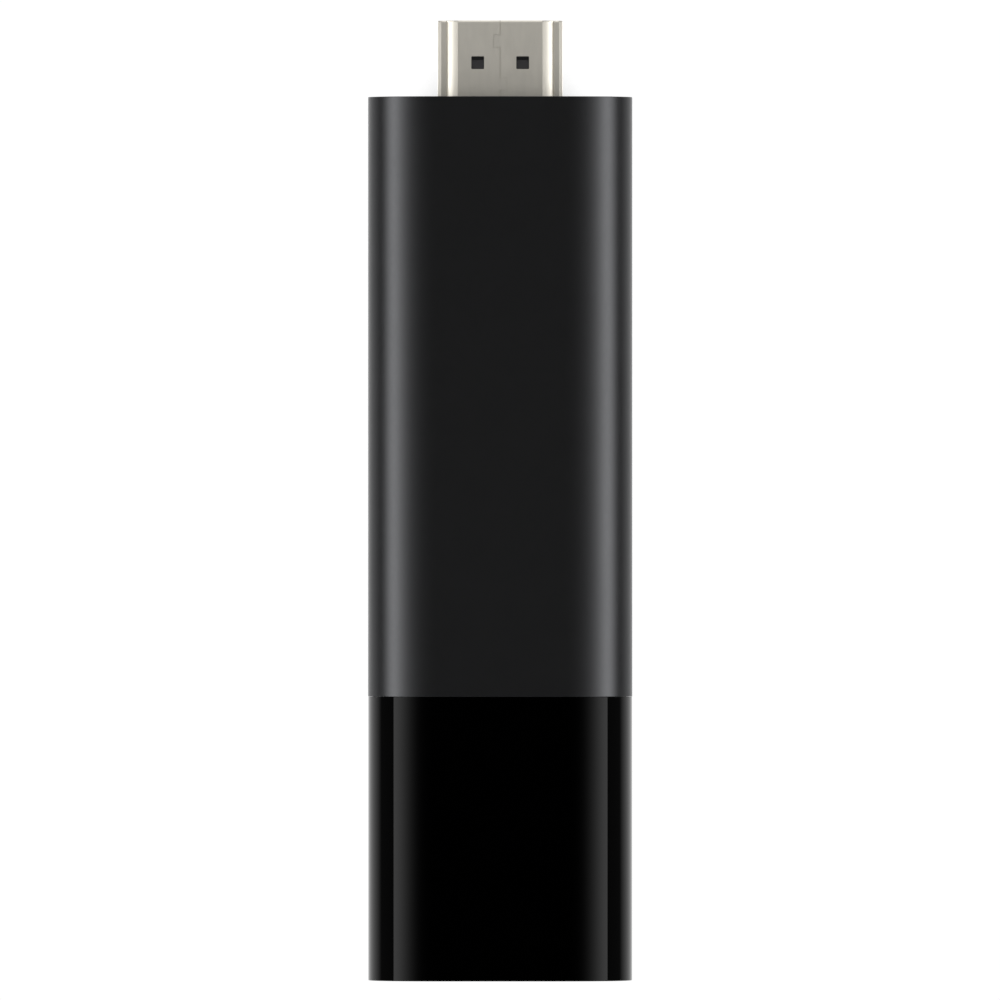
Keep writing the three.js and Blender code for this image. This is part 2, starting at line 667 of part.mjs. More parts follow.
function foamGasket() {
  const [y0, y1] = [CAVITY_FRONT_Y - 1.7, CAVITY_FRONT_Y - 0.1];
  return carved(
    [alongY(plugOutline(-1.4), y0, y1)],
    [alongY(plugOutline(-0.1), y0 - 1, y1 + 1)],
  );
}

place(player, "plug_shell", plugShell(), NICKEL);
place(player, "plug_insulator", plugInsulator(), CONNECTOR_PLASTIC);
place(player, "plug_gasket", foamGasket(), FOAM);
const contacts = [
  ...UPPER_ROW.map((x) => [x, UPPER_SEAT_Z]),
  ...LOWER_ROW.map((x) => [x, LOWER_SEAT_Z]),
];
contacts.forEach(([x, seatZ], i) =>
  place(player, `plug_contact_${String(i + 1).padStart(2, "0")}`, plugContact(seatZ), GOLD, x),
);

// ---------------------------------------------------------------- power port

const PORT_BASE_Y = PORT_REAR_Y - 1.2; // the front of the block that holds the contacts
const PORT_TONGUE = { halfWidth: 2.2, bottom: -0.45, top: 0.2, tipY: PORT_MOUTH_Y + 0.9 };
const PORT_CONTACT_Z = PORT_TONGUE.top + FILM + 0.06;

function portShell() {
  const foot = BOARD_TOP + FILM;
  const ear = (x0, x1) => block([x0, -50, foot], [x1, -48.2, foot + PORT_METAL]);
  const half = PORT_WIDTH / 2;
  const tube = carved(
    [alongY(portOutline(), PORT_MOUTH_Y, PORT_REAR_Y)],
    [alongY(portOutline(PORT_METAL), PORT_MOUTH_Y - 1, PORT_REAR_Y + 1)],
  );
  return carved([tube, ear(half - 0.1, half + 1.4), ear(-half - 1.4, 0.1 - half)]);
}

function portContactX(i) {
  return (i - 2) * PORT_PITCH;
}

function portTongue() {
  const { halfWidth, bottom, top, tipY } = PORT_TONGUE;
  const grooves = Array.from({ length: 5 }, (_, i) => {
    const x = portContactX(i);
    return block([x - 0.22, PORT_BASE_Y - 0.01, top], [x + 0.22, PORT_REAR_Y + 1, top + 0.4]);
  });
  return carved(
    [
      alongY(portOutline(PORT_METAL + 0.05), PORT_BASE_Y, PORT_REAR_Y),
      block([-halfWidth, tipY, bottom], [halfWidth, PORT_BASE_Y + 0.2, top]),
    ],
    grooves,
  );
}

function portContact() {
  const tailZ = BOARD_TOP + FILM + 0.06;
  const line = [
    [PORT_TONGUE.tipY + 0.3, PORT_CONTACT_Z],
    [PORT_REAR_Y + 0.05, PORT_CONTACT_Z],
    [PORT_REAR_Y + 0.3, tailZ],
    [PORT_REAR_Y + 1.5, tailZ],
  ];
  return alongX(strip(line, 0.12), -0.15, 0.15);
}

place(board, "port_shell", portShell(), NICKEL);
place(board, "port_tongue", portTongue(), CONNECTOR_PLASTIC);
for (let i = 0; i < 5; i++)
  place(board, `port_contact_${i + 1}`, portContact(), GOLD, portContactX(i));

// ---------------------------------------------------------------- button, switch and light

const PLUNGER = { halfWidth: 0.7, halfHeight: 0.45, length: 1.4 };

// The cap of the reset button: a pin through the rear wall, kept in by a flange behind it.
function resetButton() {
  const [flange0, flange1] = BUTTON_FLANGE_Y;
  return carved([
    cylinderAlongY(BUTTON_R, 0, REAR_Y + BUTTON_RECESS, flange1, 32),
    cylinderAlongY(BUTTON_FLANGE_R, 0, flange0, flange1, 32),
  ]);
}

function switchBody() {
  const { halfWidth, halfHeight, faceY, rearY } = SWITCH;
  const foot = [-halfWidth + 0.2, rearY - 0.5, BOARD_TOP + FILM];
  return carved(
    [
      block([-halfWidth, faceY, -halfHeight], [halfWidth, rearY, halfHeight]),
      block(foot, [halfWidth - 0.2, rearY + 1, BOARD_TOP + 0.3]),
    ],
    [
      block(
        [-PLUNGER.halfWidth - 0.1, faceY - 1, -PLUNGER.halfHeight - 0.1],
        [PLUNGER.halfWidth + 0.1, faceY + 1.3, PLUNGER.halfHeight + 0.1],
      ),
    ],
  );
}

function switchPlunger() {
  const { halfWidth, halfHeight, length } = PLUNGER;
  const tipY = BUTTON_FLANGE_Y[1] + FILM;
  return block([-halfWidth, tipY, -halfHeight], [halfWidth, tipY + length, halfHeight]);
}

// The clear pipe that carries the light through the rear wall.
function lightPipe() {
  return carved([
    cylinderAlongY(LIGHT_R, 0, REAR_Y + 0.05, CAVITY_REAR_Y + 0.5),
    block([-1.5, CAVITY_REAR_Y + 0.05, -1.2], [1.5, BOARD_REAR_Y - 0.05, 1.5]),
  ]);
}

place(player, "reset_button", resetButton(), GLOSS, BUTTON_X);
place(player, "reset_switch_plunger", switchPlunger(), INNER_PLASTIC, BUTTON_X);
place(board, "reset_switch_body", switchBody(), CONNECTOR_PLASTIC, BUTTON_X);
place(player, "light_pipe", lightPipe(), CLEAR, LIGHT_X);

export default player;
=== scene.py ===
"""A stick-form streaming media player, lying on a pale table in a tunnel of soft light.

The shell, the plug, the port, the button and the light window are built here from smooth outlines.
Everything else stays as the frame has it and gets its material here.
"""

import json
import math

import bmesh
import bpy
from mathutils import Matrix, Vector


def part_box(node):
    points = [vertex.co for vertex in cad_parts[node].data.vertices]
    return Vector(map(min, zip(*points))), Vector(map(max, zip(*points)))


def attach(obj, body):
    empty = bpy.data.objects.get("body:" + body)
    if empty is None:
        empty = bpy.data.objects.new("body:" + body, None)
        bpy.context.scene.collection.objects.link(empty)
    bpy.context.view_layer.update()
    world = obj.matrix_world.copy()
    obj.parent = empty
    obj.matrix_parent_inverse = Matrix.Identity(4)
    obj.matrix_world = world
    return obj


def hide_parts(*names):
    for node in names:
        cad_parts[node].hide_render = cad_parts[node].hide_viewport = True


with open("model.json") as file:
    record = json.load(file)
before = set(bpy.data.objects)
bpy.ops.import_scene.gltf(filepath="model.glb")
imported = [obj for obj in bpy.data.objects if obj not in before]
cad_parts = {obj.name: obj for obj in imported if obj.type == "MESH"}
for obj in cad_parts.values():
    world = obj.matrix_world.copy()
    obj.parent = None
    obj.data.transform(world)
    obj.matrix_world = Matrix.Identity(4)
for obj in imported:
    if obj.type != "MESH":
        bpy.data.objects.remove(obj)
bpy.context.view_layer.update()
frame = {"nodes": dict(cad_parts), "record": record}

MM = 0.001
PLAYER = "player"
BUTTON = "button"


# ---------------------------------------------------------------- places, from the frame

SLEEVE_LOW, SLEEVE_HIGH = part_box("sleeve_housing")
CAP_LOW, CAP_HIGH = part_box("end_cap")
PLUG_LOW, PLUG_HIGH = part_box("plug_shell")
PORT_LOW, PORT_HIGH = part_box("port_shell")

WIDTH = SLEEVE_HIGH.x - SLEEVE_LOW.x
THICKNESS = SLEEVE_HIGH.z - SLEEVE_LOW.z
MID_Z = (SLEEVE_LOW.z + SLEEVE_HIGH.z) / 2
FRONT_Y = SLEEVE_HIGH.y
JOINT_Y = SLEEVE_LOW.y
REAR_Y = CAP_LOW.y
TIP_Y = PLUG_HIGH.y

WALL = 1.5 * MM
END_WALL = 1.8 * MM
HAIRLINE = 0.02 * MM
FIT = 0.12 * MM  # clearance of a part that slides into another
BEYOND = 1 * MM  # how far a cutter runs past what it cuts


# ---------------------------------------------------------------- outlines

ARC_STEPS = 48
LEAST_RADIUS = 0.01 * MM


def stadium(inset=0.0, steps=ARC_STEPS):
    """The body's outline as (x, z) points, moved inwards by inset."""
    radius = THICKNESS / 2 - inset
    flat = WIDTH / 2 - THICKNESS / 2
    right = [-math.pi / 2 + math.pi * i / steps for i in range(steps + 1)]
    points = [(flat + radius * math.cos(a), radius * math.sin(a)) for a in right]
    return points + [(-x, -z) for x, z in points]


def rounded(corners, steps=8):
    """An outline of (x, z, radius) corners, anticlockwise, with an arc at each corner."""
    points = []
    for i, (x, z, radius) in enumerate(corners):
        corner = Vector((x, z))
        before = (Vector(corners[i - 1][:2]) - corner).normalized()
        after = (Vector(corners[(i + 1) % len(corners)][:2]) - corner).normalized()
        half = before.angle(after) / 2
        centre = corner + (before + after).normalized() * (radius / math.sin(half))
        start = corner + before * (radius / math.tan(half)) - centre
        end = corner + after * (radius / math.tan(half)) - centre
        sweep = math.atan2(start.x * end.y - start.y * end.x, start.dot(end))
        for k in range(steps + 1):
            a = sweep * k / steps
            turned = Vector(
                (
                    start.x * math.cos(a) - start.y * math.sin(a),
                    start.x * math.sin(a) + start.y * math.cos(a),
                )
            )
            points.append(tuple(centre + turned))
    return points


def mirrored(corners):
    return corners + [(-x, z, r) for x, z, r in reversed(corners)]


def inset_corners(corners, d):
    """The same corners moved inwards by d, with their radii to match."""
    moved = []
    for i, (x, z, radius) in enumerate(corners):
        here = Vector((x, z))
        a = (here - Vector(corners[i - 1][:2])).normalized()
        b = (Vector(corners[(i + 1) % len(corners)][:2]) - here).normalized()
        reach = d / (1 + a.dot(b))
        convex = a.x * b.y - a.y * b.x > 0
        new_radius = max(radius - d if convex else radius + d, LEAST_RADIUS)
        moved.append((x - reach * (a.y + b.y), z + reach * (a.x + b.x), new_radius))
    return moved


def circle(radius, x=0.0, steps=64):
    """A round outline about (x, 0)."""
    turns = [2 * math.pi * i / steps for i in range(steps)]
    return [(x + radius * math.cos(a), radius * math.sin(a)) for a in turns]


def strip(line, width):
    """The outline of a strip of one width along a line of points."""
    points = [Vector(p) for p in line]
    runs = [(end - start).normalized() for start, end in zip(points, points[1:])]
    left, right = [], []
    for point, before, after in zip(points, runs[:1] + runs, runs + runs[-1:]):
        sideways = Vector((-before.y - after.y, before.x + after.x))
        sideways *= width / 2 / (1 + before.dot(after))
        left.append(tuple(point + sideways))
        right.append(tuple(point - sideways))
    return right + left[::-1]


# ---------------------------------------------------------------- solids


def new_object(name, mesh):
    thing = bpy.data.objects.new(name, mesh)
    bpy.context.scene.collection.objects.link(thing)
    return thing


def lofted(name, rings):
    """A closed solid through rings of as many points each, flat over the first and the last."""
    count = len(rings[0])
    points = [point for ring in rings for point in ring]
    faces = [tuple(range(count)), tuple(range(len(points) - count, len(points)))]
    for start in range(0, len(points) - count, count):
        for k in range(count):
            n = (k + 1) % count
            faces.append((start + k, start + count + k, start + count + n, start + n))
    mesh = bpy.data.meshes.new(name)
    mesh.from_pydata(points, [], faces)
    shape = bmesh.new()
    shape.from_mesh(mesh)
    bmesh.ops.recalc_face_normals(shape, faces=shape.faces)
    shape.to_mesh(mesh)
    shape.free()
    return new_object(name, mesh)


def ring(outline, y):
    return [(x, y, MID_Z + z) for x, z in outline]


def prism(name, outline, y0, y1):
    return lofted(name, [ring(outline, y0), ring(outline, y1)])


def prism_along_z(name, outline, z0, z1):
    return lofted(name, [[(x, y, z) for x, y in outline] for z in (z0, z1)])


def prism_along_x(name, outline, x0, x1):
    return lofted(name, [[(x, y, MID_Z + z) for y, z in outline] for x in (x0, x1)])


def block(name, low, high):
    """A block between two corners, whose z is a distance from the mid-plane."""
    (x0, y0, z0), (x1, y1, z1) = low, high
    return prism(name, [(x0, z0), (x1, z0), (x1, z1), (x0, z1)], y0, y1)


def edge_arc(radius, stretch=1.0, steps=6):
    """(along, inset) of a rounded edge, from the end face to the side."""
    turns = [math.pi / 2 * i / steps for i in range(steps + 1)]
    return [
        (stretch * radius * (1 - math.cos(a)), radius * (1 - math.sin(a))) for a in turns
    ]


def rounded_prism(name, outline_at, y0, y1, radius0, radius1, stretch1=1.0):
    """A prism whose two end edges are rounded. outline_at(inset) gives its outline."""
    rings = [ring(outline_at(inset), y0 + along) for along, inset in edge_arc(radius0)]
    far_arc = edge_arc(radius1, stretch1)
    far = [ring(outline_at(inset), y1 - along) for along, inset in far_arc]
    return lofted(name, rings + far[::-1])


def mouth_arc(radius, steps=6):
    """(along, inset) of a hole's rounded edge, from the face to the wall of the hole."""
    turns = [math.pi / 2 * i / steps for i in range(steps + 1)]
    return [(radius * (1 - math.cos(a)), radius * math.sin(a)) for a in turns]


def flared_cutter(name, outline_at, y0, y1, flare, far_flare):
    """A cutter that passes both faces and rounds the hole's edge at each."""
    near = [(y0 - BEYOND, -flare)]
    near += [(y0 + along, inset - flare) for along, inset in mouth_arc(flare)]
    far = [(y1 + BEYOND, -far_flare)]
    far += [(y1 - along, inset - far_flare) for along, inset in mouth_arc(far_flare)]
    places = near + far[::-1]
    return lofted(name, [ring(outline_at(inset), y) for y, inset in places])


def turned(name, profile, x):
    """A round solid along Y about x, through (y, radius) places."""
    return lofted(name, [ring(circle(radius, x), y) for y, radius in profile])


def settle(thing):
    """Applies the modifiers to the mesh."""
    graph = bpy.context.evaluated_depsgraph_get()
    mesh = bpy.data.meshes.new_from_object(thing.evaluated_get(graph))
    thing.modifiers.clear()
    thing.data = mesh


def combined(base, others, operation):
    """base joined to the others (UNION), cut by them (DIFFERENCE) or trimmed to them (INTERSECT)."""
    for other in others:
        boolean = base.modifiers.new("boolean", "BOOLEAN")
        boolean.operation = operation
        boolean.solver = "EXACT"
        boolean.object = other
    settle(base)
    for other in others:
        bpy.data.objects.remove(other)
    return base


def cut(base, *others):
    return combined(base, others, "DIFFERENCE")


def joined(base, *others):
    return combined(base, others, "UNION")


def trimmed(base, *others):
    return combined(base, others, "INTERSECT")


SHARP_FROM = math.radians(35)


def piece(thing, body, slot, material, *nodes):
    """Gives a finished shape its shading and its material, hides the CAD nodes it stands for, and
    hangs it on its body.
    """
    thing.data.shade_smooth()
    thing.data.set_sharp_from_angle(angle=SHARP_FROM)
    weighted = thing.modifiers.new("weighted_normals", "WEIGHTED_NORMAL")
    weighted.keep_sharp = True
    thing.data.materials.clear()
    thing.data.materials.append(material)
    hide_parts(*nodes)
    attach(thing, body)
    return thing


# ---------------------------------------------------------------- materials


class Nodes:
    """A material's node tree, with the few links that the materials below share."""

    def __init__(self, name):
        self.material = bpy.data.materials.new(name)
        self.material.use_nodes = True
        self.tree = self.material.node_tree
        self.shader = self.tree.nodes["Principled BSDF"]
        self.place = self.new("ShaderNodeTexCoord").outputs["Object"]

    def new(self, kind, **settings):
        node = self.tree.nodes.new(kind)
        for key, value in settings.items():
            setattr(node, key, value)
        return node

    def link(self, source, target):
        self.tree.links.new(source, target)

    def scaled(self, stretch):
        """Object coordinates stretched by a factor along each axis."""
        mapping = self.new("ShaderNodeMapping")
        mapping.inputs["Scale"].default_value = stretch
        self.link(self.place, mapping.inputs["Vector"])
        return mapping.outputs["Vector"]

    def noise(self, size, detail=2.0, stretch=(1, 1, 1)):
        """Noise whose features are about size across."""
        node = self.new("ShaderNodeTexNoise")
        node.inputs["Scale"].default_value = 1 / size
        node.inputs["Detail"].default_value = detail
        self.link(self.scaled(stretch), node.inputs["Vector"])
        return node.outputs["Fac"]

    def ranged(self, value, low, high, start=0.3, end=0.7):
        """value, whose span is about start to end, as a number from low to high."""
        node = self.new("ShaderNodeMapRange")
        node.inputs["From Min"].default_value = start
        node.inputs["From Max"].default_value = end
        node.inputs["To Min"].default_value = low
        node.inputs["To Max"].default_value = high
        self.link(value, node.inputs["Value"])
        return node.outputs["Result"]

    def mixed(self, factor, first, second):
        node = self.new("ShaderNodeMix", data_type="RGBA")
        for value, socket in ((first, node.inputs[6]), (second, node.inputs[7])):
            if isinstance(value, bpy.types.NodeSocket):
                self.link(value, socket)
            else:
                socket.default_value = (*value, 1)
        self.link(factor, node.inputs["Factor"])
        return node.outputs[2]

    def tinted(self, colour, spread, size, stretch=(1, 1, 1)):
        """The base colour, a little lighter and darker in patches."""
        dark = [c * (1 - spread) for c in colour]
        light = [c * (1 + spread) for c in colour]
        patches = self.ranged(self.noise(size, 3, stretch), 0, 1)
        self.link(self.mixed(patches, dark, light), self.shader.inputs["Base Color"])

    def rough(self, low, high, size, stretch=(1, 1, 1)):
        patches = self.ranged(self.noise(size, 3, stretch), low, high)
        self.link(patches, self.shader.inputs["Roughness"])

    def relief(self, height, size, stretch=(1, 1, 1), detail=2.0):
        bump = self.new("ShaderNodeBump")
        bump.inputs["Distance"].default_value = height
        self.link(self.noise(size, detail, stretch), bump.inputs["Height"])
        self.link(bump.outputs["Normal"], self.shader.inputs["Normal"])

    def constants(self, **values):
        for key, value in values.items():
            self.shader.inputs[key.replace("_", " ")].default_value = value


def sleeve_finish():
    """Dark satin coating with a fine tooth and a metallic depth."""
    nodes = Nodes("sleeve_satin")
    nodes.constants(Metallic=0.95)
    nodes.tinted((0.168, 0.170, 0.176), 0.02, 4 * MM)
    nodes.rough(0.29, 0.33, 0.4 * MM)
    nodes.relief(0.0006 * MM, 0.06 * MM)
    return nodes.material


def cap_finish():
    """Polished black plastic with a trace of moulding ripple."""
    nodes = Nodes("cap_gloss")
    nodes.constants(IOR=1.5)
    nodes.tinted((0.0006, 0.0006, 0.0007), 0.3, 5 * MM)
    nodes.rough(0.03, 0.05, 1.5 * MM)
    nodes.relief(0.0002 * MM, 2.5 * MM)
    return nodes.material


def moulded(name, colour, low, high, tooth=0.0015 * MM):
    """Moulded plastic: mottled, with a fine spark-eroded tooth."""
    nodes = Nodes(name)
    nodes.tinted(colour, 0.12, 1.2 * MM)
    nodes.rough(low, high, 0.3 * MM)
    nodes.relief(tooth, 0.05 * MM)
    return nodes.material


def metal(name, colour, low, high, spread=0.04, drawn=(1, 1, 1), tooth=0.0008 * MM):
    """Plated or rolled metal, its marks drawn out along one axis."""
    nodes = Nodes(name)
    nodes.constants(Metallic=1.0)
    nodes.tinted(colour, spread, 0.8 * MM, drawn)
    nodes.rough(low, high, 0.25 * MM, drawn)
    nodes.relief(tooth, 0.05 * MM, drawn)
    return nodes.material


def laminate():
    """Green solder mask over a faint weave, with lighter runs of copper beneath it."""
    nodes = Nodes("board_laminate")
    weave = nodes.new("ShaderNodeTexWave", bands_direction="X")
    weave.inputs["Scale"].default_value = 1 / (0.8 * MM)
    weave.inputs["Distortion"].default_value = 1.5
    nodes.link(nodes.place, weave.inputs["Vector"])
    runs = nodes.ranged(nodes.noise(3 * MM, 1, (1, 0.25, 1)), 0, 1, 0.48, 0.52)
    mask = nodes.mixed(runs, (0.010, 0.045, 0.025), (0.016, 0.075, 0.038))
    woven = nodes.ranged(weave.outputs["Fac"], 0, 0.15, 0, 1)
    shaded = nodes.mixed(woven, mask, (0.02, 0.08, 0.045))
    nodes.link(shaded, nodes.shader.inputs["Base Color"])
    nodes.rough(0.3, 0.42, 0.5 * MM)
    nodes.relief(0.002 * MM, 0.4 * MM)
    return nodes.material


def clear_plastic():
    """Clear resin with a milky, slightly uneven body."""
    nodes = Nodes("light_window")
    nodes.constants(IOR=1.49, Transmission_Weight=0.75)
    nodes.tinted((0.80, 0.84, 0.86), 0.05, 0.4 * MM)
    nodes.rough(0.12, 0.2, 0.2 * MM)
    nodes.relief(0.001 * MM, 0.1 * MM)
    return nodes.material


def all_finishes():
    """The material for each slot of the record."""
    return {
        "sleeve_plastic": sleeve_finish(),
        "cap_plastic": cap_finish(),
        "inner_plastic": moulded("inner_plastic", (0.03, 0.03, 0.032), 0.5, 0.65),
        "connector_plastic": moulded("connector_plastic", (0.032, 0.031, 0.034), 0.4, 0.5),
        "plated_steel": metal("plated_steel", (0.72, 0.688, 0.612), 0.34, 0.41, 0.03, (1, 0.2, 1)),
        "contact_gold": metal("contact_gold", (0.95, 0.71, 0.33), 0.25, 0.35),
        "tinned_steel": metal("tinned_steel", (0.62, 0.62, 0.60), 0.3, 0.4, 0.05, (0.3, 1, 1)),
        "screw_steel": metal("screw_steel", (0.4, 0.4, 0.41), 0.3, 0.45, 0.08),
        "spreader_aluminium": metal("spreader_aluminium", (0.7, 0.71, 0.72), 0.35, 0.45,
                                    0.04, (1, 0.1, 1)),
        "board_laminate": laminate(),
        "chip_resin": moulded("chip_resin", (0.02, 0.02, 0.021), 0.45, 0.6),
        "pad_silicone": moulded("pad_silicone", (0.26, 0.36, 0.46), 0.7, 0.8, 0.004 * MM),
        "gasket_foam": moulded("gasket_foam", (0.045, 0.045, 0.047), 0.8, 0.95, 0.02 * MM),
        "clear_plastic": clear_plastic(),
        "led_resin": moulded("led_resin", (0.85, 0.82, 0.68), 0.3, 0.4),
    }


# ---------------------------------------------------------------- sleeve and cap

INNER_HALF_HEIGHT = THICKNESS / 2 - WALL
OUTER_EDGE = 0.08 * MM
JOINT_EDGE = 0.03 * MM
HOLE_INNER_EDGE = 0.05 * MM
APERTURE_INNER_EDGE = 0.1 * MM
APERTURE_ROOM = 0.2 * MM  # between the plug and the sleeve's end wall
LIP_ROOT_Y = JOINT_Y - 2 * MM
LIP_TIP_Y = JOINT_Y + 1.5 * MM
LIP_DEPTH = 0.8 * MM
ROOT_DEPTH = 0.2 * MM  # of the lip's root in the cap's wall
ROOT_FRONT_Y = JOINT_Y - HAIRLINE - 0.1 * MM
TONGUE_HALF_WIDTH = 2.6 * MM
TONGUE_DEPTH = 1 * MM
TONGUE_TIP_Y = JOINT_Y + 4.6 * MM
TONGUE_TAPER = 0.2 * MM
HOOK_Y = (JOINT_Y + 2.8 * MM, JOINT_Y + 4 * MM)
HOOK_REACH = 0.4 * MM
POCKET_DEPTH = 0.6 * MM
POCKET_ROOM = 0.2 * MM
POCKET_FRONT_Y = HOOK_Y[1] + 0.5 * MM
SLEEVE_RIBS_REAR_Y = JOINT_Y + 9.8 * MM
CAP_RIBS_FRONT_Y = LIP_ROOT_Y - 0.5 * MM
RIB_OVERLAP = 0.5 * MM  # of the ribs with the end walls
RIB_PLACES = (  # from and to, sideways and then up or down
    ((11.65 * MM, 13.7 * MM), (1.5 * MM, 2.3 * MM)),
    ((10.9 * MM, 13.1 * MM), (2.65 * MM, 3.3 * MM)),
)


def guide_ribs(y0, y1):
    """The ribs in each corner that the chassis slides between."""
    ribs = []
    for side in (-1, 1):
        for level in (-1, 1):
            for xs, zs in RIB_PLACES:
                x0, x1 = sorted(side * x for x in xs)
                z0, z1 = sorted(level * z for z in zs)
                ribs.append(block("rib", (x0, y0, z0), (x1, y1, z1)))
    return ribs


def tongue_pocket(level):
    """The room in the sleeve's wall for the hook of a tongue."""
    depth = INNER_HALF_HEIGHT + POCKET_DEPTH
    z0, z1 = sorted((level * (INNER_HALF_HEIGHT - BEYOND), level * depth))
    half = TONGUE_HALF_WIDTH + POCKET_ROOM
    return block("pocket", (-half, HOOK_Y[0] - POCKET_ROOM, z0), (half, POCKET_FRONT_Y, z1))


def snap_tongue(level):
    """A beam with a hook at its end, which holds the cap in the sleeve."""
    outer = INNER_HALF_HEIGHT - FIT
    inner = outer - TONGUE_DEPTH
    hook = outer + HOOK_REACH
    profile = [
        (LIP_ROOT_Y, inner),
        (TONGUE_TIP_Y, inner),
        (TONGUE_TIP_Y, outer - TONGUE_TAPER),
        (HOOK_Y[1], hook),
        (HOOK_Y[0], hook),
        (HOOK_Y[0], outer),
        (LIP_ROOT_Y, outer),
    ]
    placed = [(y, level * z) for y, z in profile]
    return prism_along_x("tongue", placed, -TONGUE_HALF_WIDTH, TONGUE_HALF_WIDTH)


def cavity(y0, y1, inset=0.0):
    return prism("cavity", stadium(WALL + inset), y0, y1)


def aperture_outline(inset):
    return plug_outline(inset - APERTURE_ROOM)


def sleeve():
    inside = FRONT_Y - END_WALL
    shape = rounded_prism("sleeve", stadium, JOINT_Y, FRONT_Y, JOINT_EDGE, OUTER_EDGE)
    aperture = flared_cutter(
        "aperture", aperture_outline, inside, FRONT_Y, APERTURE_INNER_EDGE, OUTER_EDGE
    )
    pockets = [tongue_pocket(level) for level in (-1, 1)]
    cut(shape, cavity(JOINT_Y - BEYOND, inside), aperture, *pockets)
    return joined(shape, *guide_ribs(SLEEVE_RIBS_REAR_Y, inside + RIB_OVERLAP))


def end_wall_hole(name, outline_at, flare):
    """A cutter for a hole in the cap's end wall."""
    return flared_cutter(name, outline_at, REAR_Y, REAR_Y + END_WALL, flare, HOLE_INNER_EDGE)


def lip():
    """The ring that reaches into the sleeve, with its root in the cap's wall."""
    shape = prism("lip", stadium(WALL + FIT), LIP_ROOT_Y, LIP_TIP_Y)
    joined(shape, prism("root", stadium(WALL - ROOT_DEPTH), LIP_ROOT_Y, ROOT_FRONT_Y))
    return cut(shape, cavity(LIP_ROOT_Y - BEYOND, LIP_TIP_Y + BEYOND, FIT + LIP_DEPTH))


def cap():
    inside = REAR_Y + END_WALL
    front = JOINT_Y - HAIRLINE
    shape = rounded_prism("cap", stadium, REAR_Y, front, OUTER_EDGE, JOINT_EDGE)
    holes = [
        end_wall_hole("port", port_opening, OPENING_FLARE),
        end_wall_hole("button", button_hole, BUTTON_FLARE),
        end_wall_hole("light", light_hole, LIGHT_FLARE),
    ]
    cut(shape, cavity(inside, front + BEYOND), *holes)
    tongues = [snap_tongue(level) for level in (-1, 1)]
    ribs = guide_ribs(inside - RIB_OVERLAP, CAP_RIBS_FRONT_Y)
    return joined(shape, lip(), *tongues, *ribs)


# ---------------------------------------------------------------- video plug

PLUG_HALF_WIDTH = PLUG_HIGH.x
PLUG_HALF_HEIGHT = PLUG_HIGH.z - MID_Z
LEG_LENGTH = 3.6 * MM
LEG_Z = (-1.6 * MM, 0.05 * MM)
LEG_OVERLAP = 0.5 * MM  # of each leg with the tube
PLUG_REAR_Y = PLUG_LOW.y + LEG_LENGTH
PLUG_METAL = 0.35 * MM
BASE_ROUNDING = 0.5 * MM
CORNER_ROUNDING = 0.1 * MM
SHOULDER_ROUNDING = 0.12 * MM
FOLD_ROUNDING = 0.06 * MM  # in the fold between shoulder and slope
BELLY_ROUNDING = 6 * MM
SHOULDER_Z = PLUG_HALF_HEIGHT - 1.75 * MM
SHOULDER_X = 6.0 * MM
NARROW_X = 4.7 * MM
SLOPE_BULGE = 0.08 * MM
EDGE_BEVEL = 0.4 * MM  # along the shoulder's outer edge
TIP_ROUNDING = 0.1 * MM
TIP_STRETCH = 2.6  # the tip's edge falls away slowly
MOUTH_ROUNDING = 0.1 * MM
REAR_ROUNDING = 0.05 * MM
WINDOW_HALF = 0.71 * MM
WINDOW_CORNER = 0.1 * MM
WINDOW_X = 2.5 * MM
WINDOW_Y = TIP_Y - 4.7 * MM
SEAM_DEPTH = 0.25 * MM
SEAM_OPEN = 0.1 * MM  # the gap along the straight runs
SEAM_TIGHT = 0.025 * MM  # the gap round the tabs
TABS = ((1.65 * MM, -1), (6.45 * MM, 1))  # how far from the tip, and to which side
TAB_REACH = 0.75 * MM
TAB_LENGTH = 1.3 * MM
TAB_FLARE = 0.1 * MM
SLOT_HALF = WINDOW_HALF - 0.08 * MM
SLOT_Y = (WINDOW_Y + 0.3 * MM, WINDOW_Y + 1.1 * MM)
SLOT_DEPTH = 0.6 * MM
BLOCK_ROOM = 0.02 * MM
MERGE_WITHIN = 0.0005 * MM
FOAM_ROOM = 0.06 * MM
FOAM_CORNER = 1.5 * MM


def slope_middle():
    """The corner that gives the plug's sloping sides their slight belly."""
    across = Vector((PLUG_HALF_HEIGHT - SHOULDER_Z, SHOULDER_X - NARROW_X)).normalized()
    middle = Vector((SHOULDER_X + NARROW_X, SHOULDER_Z + PLUG_HALF_HEIGHT)) / 2
    return middle + across * 2 * SLOPE_BULGE


def plug_outline(inset=0.0):
    belly = slope_middle()
    corners = mirrored(
        [
            (PLUG_HALF_WIDTH, -PLUG_HALF_HEIGHT, BASE_ROUNDING),
            (PLUG_HALF_WIDTH, SHOULDER_Z - EDGE_BEVEL, SHOULDER_ROUNDING),
            (PLUG_HALF_WIDTH - EDGE_BEVEL, SHOULDER_Z, CORNER_ROUNDING),
            (SHOULDER_X, SHOULDER_Z, FOLD_ROUNDING),
            (belly.x, belly.y, BELLY_ROUNDING),
            (NARROW_X, PLUG_HALF_HEIGHT, CORNER_ROUNDING),
        ]
    )
    return rounded(inset_corners(corners, inset))


